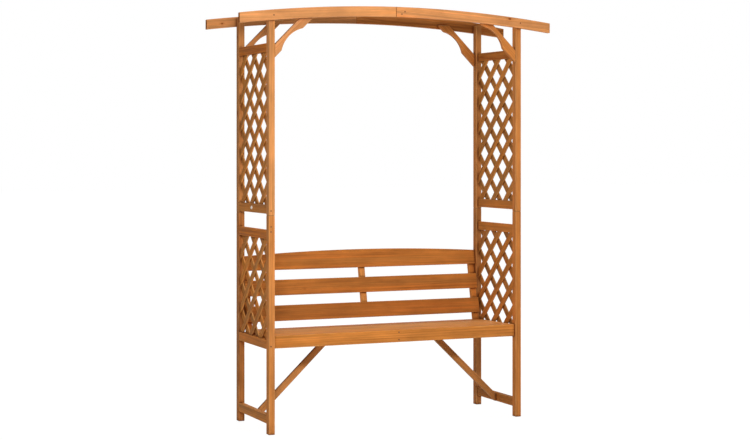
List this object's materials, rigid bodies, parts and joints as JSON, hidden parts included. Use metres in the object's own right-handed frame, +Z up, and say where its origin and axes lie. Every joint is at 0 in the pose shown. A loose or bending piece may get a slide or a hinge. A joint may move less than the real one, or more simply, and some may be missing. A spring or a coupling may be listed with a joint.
{
  "type": "garden arbor bench",
  "caption": "Slatted wooden garden bench with a leaning back, set in an open arbor of trellis sides under a pair of arched beams.",
  "frame": {"origin": "on the floor, below the middle of the frame", "axes": "+Z up, +X to the sitter's left, which is the right of a person facing the bench, +Y to the rear"},
  "size_m": [1.624, 0.5096, 2],
  "materials": {
    "posts": "orange-brown translucent stain, satin, fine long grain",
    "side_rails": "orange-brown translucent stain, satin, fine long grain",
    "lattice": "orange-brown translucent stain, satin",
    "beams": "orange-brown translucent stain, satin, fine long grain",
    "seat": "orange-brown translucent stain, satin, fine long grain",
    "dowels": "bare turned wood"
  },
  "bodies": {
    "root": {"lower_post_front_left": "posts", "lower_post_front_right": "posts", "lower_post_rear_left": "posts", "lower_post_rear_right": "posts", "upper_post_front_left": "posts", "upper_post_front_right": "posts", "upper_post_rear_left": "posts", "upper_post_rear_right": "posts", "post_dowel_front_left": "dowels", "post_dowel_front_right": "dowels", "post_dowel_rear_left": "dowels", "post_dowel_rear_right": "dowels", "side_stretcher_left": "side_rails", "side_stretcher_right": "side_rails", "seat_rail_left": "side_rails", "seat_rail_right": "side_rails", "lower_trellis_top_rail_left": "side_rails", "lower_trellis_top_rail_right": "side_rails", "upper_trellis_bottom_rail_left": "side_rails", "upper_trellis_bottom_rail_right": "side_rails", "upper_trellis_top_rail_left": "side_rails", "upper_trellis_top_rail_right": "side_rails", "lower_lattice_left": "lattice", "lower_lattice_right": "lattice", "upper_lattice_left": "lattice", "upper_lattice_right": "lattice", "front_beam_left_half": "beams", "front_beam_right_half": "beams", "rear_beam_left_half": "beams", "rear_beam_right_half": "beams", "front_corner_brace_left": "beams", "front_corner_brace_right": "beams", "rear_corner_brace_left": "beams", "rear_corner_brace_right": "beams", "leg_brace_left": "side_rails", "leg_brace_right": "side_rails", "seat_slat_1": "seat", "seat_slat_2": "seat", "seat_slat_3": "seat", "seat_slat_4": "seat", "front_apron": "seat", "rear_apron": "seat", "seat_bearer_left_end": "side_rails", "seat_bearer_left_middle": "side_rails", "seat_bearer_centre": "side_rails", "seat_bearer_right_middle": "side_rails", "seat_bearer_right_end": "side_rails", "back_stile_left": "seat", "back_stile_centre": "seat", "back_stile_right": "seat", "back_slat_bottom": "seat", "back_slat_middle": "seat", "back_slat_top": "seat"}
  },
  "joints": []
}
